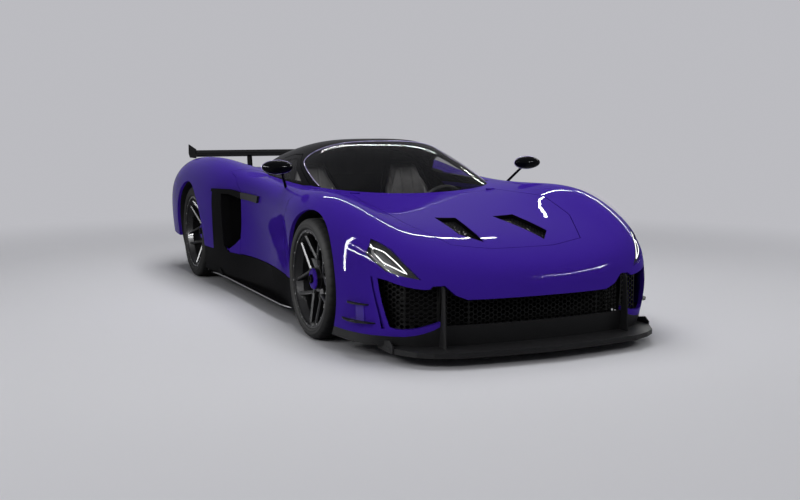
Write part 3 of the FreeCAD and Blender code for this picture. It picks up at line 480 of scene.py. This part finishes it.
def hexagons(x, centre, rings):
    """Six points on each ring of (depth, radius), the depth counted from x."""
    corners = [math.pi * k / 3 for k in range(6)]
    return [on_axle(x + depth, centre, radius, turn) for depth, radius in rings for turn in corners]


def wheel_caps(end):
    """The violet scalloped centre cap, its black nut, and a bolt between each pair of spokes."""
    centre, _, _ = wheel_centre(end)
    face = extent("rim_" + end + "_left")[1].x
    tree = tree_of("rim_" + end + "_left")
    start = cast(tree, (face + 0.2, centre.y, centre.z), INWARD)
    body = "wheel_" + end + "_*"

    rings = [(0.0, 0.0615), (0.004, 0.0615), (0.010, 0.058), (0.0135, 0.050), (0.015, 0.038),
             (0.0125, 0.034)]
    sides, scallops, scallop_depth = 60, 10, 0.0035
    points = []
    for depth, radius in rings:
        for k in range(sides):
            turn = 2 * math.pi * k / sides
            wave = scallop_depth * (0.5 + 0.5 * math.cos(scallops * turn)) if radius > 0.045 else 0
            points.append(on_axle(start.x + depth, centre, radius - wave, turn))
    pair("wheel_cap_" + end, points, capped(len(rings), sides), PAINT, body)

    rings = [(0.0105, 0.026), (0.022, 0.026), (0.026, 0.022), (0.026, 0.012), (0.018, 0.011)]
    faces = capped(len(rings), 6)
    pair("wheel_nut_" + end, hexagons(start.x, centre, rings), faces, GLOSS, body, smooth=False)

    rings = [(-0.002, 0.0045), (0.003, 0.0045), (0.0045, 0.0032)]
    bolts, bolt_circle = 20, 0.2725
    shapes = []
    for bolt in range(bolts):
        at = on_axle(face + 0.2, centre, bolt_circle, 2 * math.pi * (bolt + 0.5) / bolts)
        hit = cast(tree, at, INWARD)
        if hit:
            shapes.append((hexagons(hit.x, at, rings), capped(len(rings), 6)))
    points, faces = chained(shapes)
    pair("rim_bolts_" + end, points, faces, BRIGHT_STEEL_AND_HIGHLIGHT, body, smooth=False)


for axle in ("front", "rear"):
    tyres(axle)
    wheel_caps(axle)


# Lamps

def light_strips():
    """Two white light lines in each headlight, crossing near its upper corner."""
    tree = tree_of("headlight_housing_left")
    for name, line in (("upper", [(0.843, 0.592), (0.7935, 0.5685), (0.747, 0.504), (0.717, 0.457)]),
                       ("lower", [(0.833, 0.609), (0.830, 0.5545), (0.8095, 0.5155), (0.7265, 0.466)])):
        path = []
        for p in along_path([Vector((x, -2.6, z)) for x, z in line], 0.006):
            hit = cast(tree, p, BACKWARD)
            if hit:
                path.append(hit)
        points, faces = tube(smoothed(path, 1), 0.0026)
        pair("light_strip_" + name, points, faces, LIGHT, "chassis")


light_strips()


# Seats: two padded pieces in a hard shell

def station(line, share):
    """Interpolates along rows of numbers."""
    place_in = share * (len(line) - 1)
    i = min(int(place_in), len(line) - 2)
    f = place_in - i
    return [a + (b - a) * f for a, b in zip(line[i], line[i + 1])]


def across_line(line, share, reach):
    """The unit vector square to a line of (y, z, ...) rows, upwards or to the front."""
    before, after = station(line, max(0, share - reach)), station(line, min(1, share + reach))
    run = Vector((0, after[0] - before[0], after[1] - before[1])).normalized()
    return Vector((0, -run.z, run.y))


def pad_shape(line, centre_x, rows=36, columns=40):
    """A closed pad along rows of (y, z, half width, half thickness, bolster), with rounded ends."""
    points = []
    for i in range(rows):
        share = i / (rows - 1)
        y, z, half, thick, bolster = station(line, share)
        over = across_line(line, share, 0.02)
        end = math.sqrt(max(0.03, 1 - abs(2 * share - 1) ** 7))
        for j in range(columns):
            turn = 2 * math.pi * j / columns
            c, s = math.cos(turn), math.sin(turn)
            x = half * math.copysign(abs(c) ** 0.55, c) * (0.88 + 0.12 * end)
            n = thick * math.copysign(abs(s) ** 0.6, s) * end
            rise = max(0.0, abs(x) / half - 0.5) / 0.5
            n += bolster * rise * rise * (3 - 2 * rise) * (1 if s > -0.2 else 0.6)
            points.append(Vector((centre_x + x, y, z)) + over * n)
    return points, capped(rows, columns)


def swell(obj, cap):
    """Remeshes a pad and fills it with Blender's cloth, each point moving no further than the cap."""
    frames = 20
    remesh = obj.modifiers.new("remesh", "REMESH")
    remesh.mode = "VOXEL"
    remesh.voxel_size = 0.006
    graph = bpy.context.evaluated_depsgraph_get()
    mesh = bpy.data.meshes.new_from_object(obj.evaluated_get(graph))
    obj.modifiers.clear()
    mat = obj.data.materials[0]
    obj.data = mesh
    mesh.materials.clear()
    mesh.materials.append(mat)
    start = [v.co.copy() for v in mesh.vertices]
    cloth = obj.modifiers.new("cloth", "CLOTH")
    cloth.settings.use_pressure = True
    cloth.settings.uniform_pressure_force = 4
    cloth.settings.effector_weights.gravity = 0
    for number in range(1, frames + 1):
        scene.frame_set(number)
    graph = bpy.context.evaluated_depsgraph_get()
    swollen = obj.evaluated_get(graph).data
    for vertex, old, new in zip(mesh.vertices, start, [v.co.copy() for v in swollen.vertices]):
        move = new - old
        vertex.co = old + (move if move.length < cap else move.normalized() * cap)
    obj.modifiers.clear()
    scene.frame_set(1)
    for polygon in mesh.polygons:
        polygon.use_smooth = True


def sew(obj, centre_x, seams, front, width=0.009, depth=0.006):
    """Presses sewn channels into a pad's front, each at one distance from its middle."""
    mesh = obj.data
    normals = [n.vector.copy() for n in mesh.vertex_normals]
    for vertex, normal in zip(mesh.vertices, normals):
        if normal.dot(front) < 0.2:
            continue
        gap = min(abs(abs(vertex.co.x - centre_x) - s) for s in seams)
        if gap < width:
            vertex.co -= normal * depth * (1 - (gap / width) ** 2) ** 2


CUSHION_LINE = [(-0.322, 0.262, 0.205, 0.034, 0.026), (-0.27, 0.277, 0.215, 0.045, 0.034),
                (-0.12, 0.258, 0.222, 0.046, 0.042), (0.02, 0.235, 0.222, 0.046, 0.044),
                (0.085, 0.222, 0.215, 0.036, 0.040)]
BACK_LINE = [(0.098, 0.262, 0.200, 0.034, 0.030), (0.150, 0.370, 0.204, 0.042, 0.046),
             (0.205, 0.500, 0.206, 0.042, 0.052), (0.258, 0.640, 0.196, 0.040, 0.046),
             (0.302, 0.750, 0.176, 0.038, 0.030), (0.328, 0.845, 0.132, 0.036, 0.010),
             (0.350, 0.932, 0.106, 0.032, 0.003)]
SEAT_X = 0.370
BACK_FRONT = Vector((0, -0.93, 0.36))
SWELL_CAP = 0.012
for name, line, front, seams in (("seat_cushion", CUSHION_LINE, Vector((0, 0, 1)), (0.045, 0.135)),
                                 ("seat_back", BACK_LINE, BACK_FRONT, (0.04, 0.125))):
    points, faces = pad_shape(line, SEAT_X)
    left = piece(name + "_left", points, faces, LEATHER, "chassis")
    swell(left, SWELL_CAP)
    sew(left, SEAT_X, seams, front)
    points = mirrored_points([v.co for v in left.data.vertices])
    faces = [tuple(reversed(polygon.vertices)) for polygon in left.data.polygons]
    right = piece(name + "_right", points, faces, LEATHER, "chassis")
    for obj in (left, right):
        obj.modifiers.new("smooth", "SUBSURF").render_levels = 1
        obj.modifiers["smooth"].levels = 1
        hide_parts("seat_" + obj.name.split("_")[-1])

SHELL_LINE = [(-0.335, 0.236, 0.205, 0.030), (-0.30, 0.222, 0.220, 0.045), (-0.10, 0.196, 0.236, 0.075),
              (0.05, 0.178, 0.238, 0.095), (0.125, 0.196, 0.236, 0.10), (0.175, 0.30, 0.228, 0.095),
              (0.232, 0.45, 0.226, 0.105), (0.292, 0.62, 0.216, 0.095), (0.340, 0.75, 0.194, 0.060),
              (0.372, 0.86, 0.150, 0.022), (0.390, 0.952, 0.108, 0.006)]


def seat_shell():
    """The hard carbon shell round each seat's pads, its two sides bent forwards."""
    rows, columns = 34, 21
    points = []
    for i in range(rows):
        share = i / (rows - 1)
        y, z, half, wing = station(SHELL_LINE, share)
        over = across_line(SHELL_LINE, share, 0.03)
        for j in range(columns):
            v = 2 * j / (columns - 1) - 1
            bend = max(0.0, abs(v) - 0.55) / 0.45
            across = math.copysign(min(abs(v) * 1.25, 1.0 + 0.03 * bend), v)
            points.append(Vector((SEAT_X + half * across, y, z)) + over * wing * bend * bend)

    def finish(obj):
        solid = obj.modifiers.new("thickness", "SOLIDIFY")
        solid.thickness = 0.007
        solid.offset = 0
        bevelled(obj, 0.002)

    faces = grid_faces(rows, columns)
    pair("seat_shell", points, faces, CARBON, "chassis", finish=finish)


def rounded_box(low, high, round_by):
    """Points and faces of a box with chamfered upright edges."""
    (x0, y0, z0), (x1, y1, z1) = low, high
    plan = [(x0 + round_by, y0), (x1 - round_by, y0), (x1, y0 + round_by), (x1, y1 - round_by),
            (x1 - round_by, y1), (x0 + round_by, y1), (x0, y1 - round_by), (x0, y0 + round_by)]
    points = [Vector((x, y, z)) for z in (z0, z1) for x, y in plan]
    return points, capped(2, len(plan))


seat_shell()
for inner in (0.215, 0.485):
    points, faces = rounded_box((inner, -0.25, 0.1105), (inner + 0.04, 0.10, 0.186), 0.008)
    pair("seat_rail_" + str(round(inner * 1000)), points, faces, STEEL, "chassis", smooth=False,
         finish=lambda obj: bevelled(obj, 0.003))


# Trim: seal, mirrors, sills, tail, bonnet vents, and what shows through the openings

SCREEN_EDGE = [(0.6145, -0.52), (0.618, -0.438), (0.615, -0.355), (0.604, -0.227), (0.577, -0.084),
               (0.551, -0.044), (0.510, -0.040), (0.465, -0.050), (0.417, -0.073), (0.348, -0.093),
               (0.229, -0.106), (0, -0.113)]


def screen_seal():
    """A thin bead along the windscreen's sides and top, its pale lilac colour a painted highlight."""
    tree = tree_of("windscreen", "roof", "door_left", "door_right", "front_clam")
    half = [Vector((x, y, 1.6)) for x, y in SCREEN_EDGE]
    whole = along_path(half + mirrored_points(reversed(half[:-1])), 0.02)
    path = []
    for p in whole:
        hit = cast(tree, p, DOWN)
        if hit:
            path.append(hit + Vector((0, 0, 0.0004)))
    points, faces = tube(smoothed(path, 2), 0.0034, 8)
    # The bead's pale lilac colour is a painted highlight.
    piece("windscreen_seal", points, faces, HIGHLIGHT_BEAD, "chassis")


def inside_outline(x, y, outline):
    """Whether a point is inside a closed outline in plan."""
    odd = False
    for (ax, ay), (bx, by) in zip(outline, outline[1:] + outline[:1]):
        if (ay > y) != (by > y) and x < ax + (bx - ax) * (y - ay) / (by - ay):
            odd = not odd
    return odd


def vent_mesh():
    """Fine diamond mesh lying on the dark panel under each bonnet vent."""
    tree = tree_of("bonnet_grille")
    outline = [(0.268, -1.450), (0.118, -1.450), (0.186, -1.945), (0.292, -1.820)]
    pitch, front, lift = 0.011, -1.96, 0.0022
    points, faces, known = [], [], {}

    def place_of(i, j):
        return i * pitch, front + j * pitch * 1.5

    def corner(i, j):
        if (i, j) not in known:
            hit = cast(tree, (*place_of(i, j), 1.2), DOWN)
            known[i, j] = len(points) if hit else None
            if hit:
                points.append(hit + Vector((0, 0, lift)))
        return known[i, j]

    for i in range(9, 28):
        for j in range(0, 33):
            if (i + j) % 2 or not inside_outline(*place_of(i, j), outline):
                continue
            ring = [corner(i - 1, j), corner(i, j - 1), corner(i + 1, j), corner(i, j + 1)]
            if None not in ring:
                faces.append(ring)

    def finish(obj):
        wire = obj.modifiers.new("bars", "WIREFRAME")
        wire.thickness = 0.0026
        wire.use_even_offset = False

    pair("vent_mesh", points, faces, GLOSS, "bonnet", smooth=False, finish=finish)


def vent_liner():
    """A thin black wall standing round the inside of each bonnet vent."""
    above, below = tree_of("bonnet_lid"), tree_of("bonnet_grille")
    outline = [Vector((0.262, -1.462, 0)), Vector((0.124, -1.462, 0)), Vector((0.190, -1.935, 0)),
               Vector((0.284, -1.812, 0))]
    middle = sum(outline, Vector()) / 4
    path = along_path(outline + outline[:1], 0.012)[:-1]
    points = []
    for p in path:
        outward = (p - middle).normalized()
        top = cast(above, p + outward * 0.006 + Vector((0, 0, 1.2)), DOWN)
        low = cast(below, p - outward * 0.002 + Vector((0, 0, 1.2)), DOWN)
        high = top.z - 0.0015 if top else 0.6
        base = low.z + 0.0008 if low else high - 0.024
        for inward, z in ((0.0012, high), (0.0026, high - 0.0006), (0.0026, base), (0.0012, base)):
            at = p - outward * inward
            points.append(Vector((at.x, at.y, z)))
    pair("vent_liner", points, looped(len(path), 4), GLOSS, "bonnet", smooth=False)


def ribbon(name, path, low, high, ridge, depth, turns):
    """A closed upright dark wall along a path in plan, its front folded into level ridges."""
    profile = []
    for i in range(turns + 1):
        z = low + (high - low) * i / turns
        profile.append((ridge if i % 2 else 0.0, z))
    profile += [(depth, high), (depth, low)]
    points = []
    for i, at in enumerate(path):
        run = (path[min(i + 1, len(path) - 1)] - path[max(i - 1, 0)]).normalized()
        back = Vector((-run.y, run.x, 0))
        points += [Vector((at.x, at.y, 0)) + back * inward + Vector((0, 0, z)) for inward, z in profile]
    piece(name, points, capped(len(path), len(profile)), MESH, "chassis", smooth=False)


def radiators():
    """A finned radiator behind the grille, and ducts behind the corner openings."""
    half = [Vector((0.44, -2.070, 0)), Vector((0.50, -2.060, 0))]
    middle = along_path(mirrored_points(reversed(half)) + half, 0.05)
    ribbon("radiator_core", middle, 0.178, 0.40, 0.006, 0.034, 48)
    corner = [Vector((0.525, -2.052, 0)), Vector((0.69, -1.985, 0)), Vector((0.80, -1.850, 0))]
    for name, line in (("left", corner), ("right", mirrored_points(reversed(corner)))):
        ribbon("brake_duct_" + name, along_path(line, 0.03), 0.178, 0.44, 0.008, 0.026, 24)


def cabin_back():
    """A ribbed dark panel closing the cabin above the bulkhead, up to the inside of the roof."""
    tree = tree_of("roof")
    columns, rows, half_width, thickness = 49, 9, 0.60, 0.012
    places = [-half_width + 2 * half_width * i / (columns - 1) for i in range(columns)]
    tops = []
    for x in places:
        hit = cast(tree, (x, 0.512, 0.75), UP)
        tops.append((hit.z if hit else 0.9) - 0.004)
    points = []
    for back in (0.0, thickness):
        for j in range(rows):
            share = j / (rows - 1)
            for i, (x, top) in enumerate(zip(places, tops)):
                low = min(0.846, top - 0.01)
                rib = 0.005 if i % 6 in (2, 3, 4) and 0.05 < share < 0.95 and not back else 0.0
                points.append(Vector((x, 0.503 + back - rib, low + (top - low) * share)))
    front = grid_faces(rows, columns)
    count = rows * columns
    faces = front + [tuple(count + k for k in reversed(face)) for face in front]
    rim = list(range(columns))
    rim += [j * columns + columns - 1 for j in range(1, rows)]
    rim += [(rows - 1) * columns + i for i in range(columns - 2, -1, -1)]
    rim += [j * columns for j in range(rows - 2, 0, -1)]
    faces += [(a, b, count + b, count + a) for a, b in zip(rim, rim[1:] + rim[:1])]
    piece("cabin_back_panel", points, faces, TRIM, "chassis", smooth=False)


def mirrors():
    """The curved glass at the back of each mirror pod, and the thin ring round the pod, whose pale
    colour is a painted highlight.
    """
    low, high = extent("mirror_left")
    half = Vector((0.100, 0.056, 0.043))
    middle = Vector((high.x - half.x, low.y + half.y, high.z - half.z))
    shares = (0.999, 0.93, 0.84, 0.72, 0.58, 0.46)
    points, sides = [], 48
    for scale, rings in ((1.016, shares), (0.998, reversed(shares))):
        for share in rings:
            across = math.sqrt(1 - share * share)
            for k in range(sides):
                turn = 2 * math.pi * k / sides
                x, z = half.x * across * math.cos(turn), half.z * across * math.sin(turn)
                points.append(middle + Vector((x, half.y * share, z)) * scale)
    pair("mirror_glass", points, capped(2 * len(shares), sides), MIRROR, "door_*")
    points, steps, sides, thick = [], 64, 8, 0.0024
    for i in range(steps):
        turn = 2 * math.pi * i / steps
        outward = Vector((math.cos(turn), 0, math.sin(turn)))
        at = middle + Vector((0.1008 * outward.x, 0.006, 0.0438 * outward.z))
        for k in range(sides):
            around = 2 * math.pi * k / sides
            back = Vector((0, thick * math.sin(around), 0))
            points.append(at + outward * thick * math.cos(around) + back)
    # The ring's pale colour is a painted highlight.
    pair("mirror_ring", points, looped(steps, sides), HIGHLIGHT_BEAD, "door_*")


def sill_lip():
    """A slim tube along the blade at the foot of each side skirt, whose bright colour is a painted
    highlight of the blade's edge.
    """
    tree = tree_of("side_skirt_left")
    low, high = extent("side_skirt_left")
    steps, end_gap = 59, 0.03
    path = []
    for i in range(steps + 1):
        y = low.y + end_gap + (high.y - low.y - 2 * end_gap) * i / steps
        hit = cast(tree, (1.3, y, low.z + 0.007), INWARD)
        if hit and hit.x > 0.86:
            path.append(hit)
    points, faces = tube(path, 0.0042, 8)
    # The lip's bright colour is a painted highlight of the blade's edge.
    pair("sill_lip", points, faces, BRIGHT_STEEL_AND_HIGHLIGHT, "chassis")


def exhaust():
    """Two round pipes in the opening of the rear panel, with a dark box behind them."""
    hit = cast(tree_of("rear_panel"), (0.16, 3.0, 0.61), FORWARD)
    face, middle, sides = hit.y, 0.61, 40
    rings = [(face - 0.14, 0.042), (face - 0.006, 0.042), (face + 0.002, 0.0435), (face + 0.004, 0.041),
             (face - 0.004, 0.0385), (face - 0.12, 0.038)]
    shapes = []
    for x in (-0.056, 0.056):
        points = []
        for y, radius in rings:
            for k in range(sides):
                turn = 2 * math.pi * k / sides
                points.append(Vector((x + radius * math.cos(turn), y, middle + radius * math.sin(turn))))
        shapes.append((points, capped(len(rings), sides)))
    points, faces = chained(shapes)
    piece("exhaust_pipes", points, faces, BRIGHT_STEEL_AND_HIGHLIGHT, "chassis")
    half_width, half_height = 0.128, 0.048
    points = []
    for back, inset in ((-0.10, 0.0), (0.0, 0.0), (0.0, 0.003), (-0.094, 0.012)):
        x, z = half_width - inset, half_height - inset
        for across, up in ((-x, -z), (x, -z), (x, z), (-x, z)):
            points.append(Vector((across, face - 0.008 + back, middle + up)))
    piece("exhaust_box", points, capped(4, 4), MESH, "chassis", smooth=False)


def rear_ribs():
    """Thin level ribs across the lower part of the rear panel."""
    tree = tree_of("rear_panel")
    steps, half_width = 60, 0.84
    shapes = []
    for z in (0.385, 0.415, 0.445, 0.475, 0.505, 0.535):
        path = []
        for i in range(steps + 1):
            hit = cast(tree, (-half_width + 2 * half_width * i / steps, 3.0, z), FORWARD)
            if hit:
                path.append(hit)
        if len(path) > 8:
            shapes.append(tube(path[1:-1], 0.0032, 6))
    points, faces = chained(shapes)
    piece("rear_ribs", points, faces, GLOSS, "chassis")


def rear_liner():
    """A dark wall behind the rear wheels that closes the gap over the diffuser."""
    half = [Vector((0.80, 1.835, 0)), Vector((0.5, 1.845, 0))]
    path = along_path(half + mirrored_points(reversed(half)), 0.08)
    ribbon("rear_liner", path, 0.30, 0.46, 0.004, 0.014, 14)


screen_seal()
mirrors()
sill_lip()
exhaust()
rear_ribs()
rear_liner()
vent_mesh()
vent_liner()
radiators()
cabin_back()


# Floor, lights and camera

BACKDROP = (0.50, 0.50, 0.53, 1)


def backdrop_rays(tree):
    """1 for rays of the camera, gloss and glass, which see the pale backdrop, and 0 for light."""
    path = add(tree, "ShaderNodeLightPath")
    result = path.outputs["Is Camera Ray"]
    for name in ("Is Glossy Ray", "Is Transmission Ray"):
        either = add(tree, "ShaderNodeMath", operation="MAXIMUM")
        tree.links.new(result, either.inputs[0])
        tree.links.new(path.outputs[name], either.inputs[1])
        result = either.outputs[0]
    return result


def stage_plane():
    """A matt pale floor that fades into the backdrop a few metres away."""
    mesh = bpy.data.meshes.new("studio_floor")
    maker = bmesh.new()
    bmesh.ops.create_grid(maker, x_segments=1, y_segments=1, size=40)
    maker.to_mesh(mesh)
    maker.free()
    floor = bpy.data.objects.new("studio_floor", mesh)
    scene.collection.objects.link(floor)
    mat, tree, shader = material("pale_floor", (0.80, 0.80, 0.83), 0.9, Specular_IOR_Level=0.0)
    tree.links.new(spread(tree, noise(tree, 2, 3), 0.84, 0.96), shader.inputs["Roughness"])
    far = add(tree, "ShaderNodeVectorMath", operation="LENGTH")
    tree.links.new(place(tree), far.inputs[0])
    fade_start, fade_end = 2.2, 7.0
    fade = add(tree, "ShaderNodeMapRange", interpolation_type="SMOOTHSTEP")
    fade.inputs["From Min"].default_value = fade_start
    fade.inputs["From Max"].default_value = fade_end
    tree.links.new(far.outputs["Value"], fade.inputs["Value"])
    haze = add(tree, "ShaderNodeEmission", Color=BACKDROP, Strength=1.0)
    share = add(tree, "ShaderNodeMath", operation="MULTIPLY")
    tree.links.new(fade.outputs["Result"], share.inputs[0])
    tree.links.new(backdrop_rays(tree), share.inputs[1])
    mix = add(tree, "ShaderNodeMixShader")
    tree.links.new(share.outputs[0], mix.inputs[0])
    tree.links.new(shader.outputs[0], mix.inputs[1])
    tree.links.new(haze.outputs[0], mix.inputs[2])
    tree.links.new(mix.outputs[0], tree.nodes["Material Output"].inputs["Surface"])
    mesh.materials.append(mat)


def studio_world():
    """A plain grey world that the camera, gloss and glass see as a pale backdrop."""
    world = bpy.data.worlds.new("studio")
    world.use_nodes = True
    tree = world.node_tree
    plain_back = tree.nodes["Background"]
    plain_back.inputs["Color"].default_value = (0.62, 0.63, 0.68, 1)
    plain_back.inputs["Strength"].default_value = 0.17
    pale = add(tree, "ShaderNodeBackground", Color=BACKDROP, Strength=1.0)
    mix = add(tree, "ShaderNodeMixShader")
    tree.links.new(backdrop_rays(tree), mix.inputs[0])
    tree.links.new(plain_back.outputs[0], mix.inputs[1])
    tree.links.new(pale.outputs[0], mix.inputs[2])
    tree.links.new(mix.outputs[0], tree.nodes["World Output"].inputs["Surface"])
    scene.world = world


def area(name, at, aim, size, power, mirrored=True):
    """A lamp. A mirrored one shows only in gloss, and the others light only what is matt."""
    data = bpy.data.lights.new(name, "AREA")
    data.shape = "RECTANGLE"
    data.size, data.size_y = size
    data.energy = power
    lamp = bpy.data.objects.new(name, data)
    lamp.location = at
    lamp.rotation_euler = (Vector(aim) - Vector(at)).to_track_quat("-Z", "Y").to_euler()
    lamp.visible_glossy = mirrored
    lamp.visible_diffuse = not mirrored
    scene.collection.objects.link(lamp)


stage_plane()
studio_world()
area("soft_top", (0, 0.5, 5.5), (0, 0, 0), (3.0, 6.0), 205, False)
area("soft_left", (-6.0, -3.0, 3.4), (0, 0, 0.5), (5.0, 1.5), 66, False)
area("soft_right", (6.0, -3.0, 3.5), (0, 0, 0.5), (5.0, 1.5), 58, False)
area("soft_front", (-1.5, -8.5, 4.8), (0, -1, 0.4), (6.0, 1.2), 102, False)
area("strip_side_low", (-5.2, -2.2, 2.3), (-0.9, -1.8, 0.6), (6.5, 0.20), 1100)
area("strip_side_high", (-5.0, -2.2, 3.0), (-0.9, -1.8, 0.6), (6.5, 0.10), 600)
area("strip_upright", (-5.2, 0.9, 2.3), (-0.9, -1.7, 0.6), (0.20, 4.2), 750)
area("strip_rear", (2.0, 4.6, 4.5), (-0.3, -1.8, 0.65), (4.2, 0.10), 110)
area("strip_right", (5.5, 2.0, 3.6), (0.8, -1.7, 0.7), (4.0, 0.10), 160)
area("strip_nose", (3.4, -5.0, 2.9), (0.2, -2.2, 0.45), (2.6, 0.14), 420)

camera = bpy.data.objects.new("camera", bpy.data.cameras.new("camera"))
scene.collection.objects.link(camera)
scene.camera = camera
camera.data.sensor_width = 36
camera.data.lens = 46.64
camera.data.clip_end = 200
yaw, pitch = math.radians(24.66), math.radians(7.05)
camera.location = (-2.9475, -6.8348, 1.2396)
camera.rotation_euler = (math.pi / 2 - pitch, 0, -yaw)
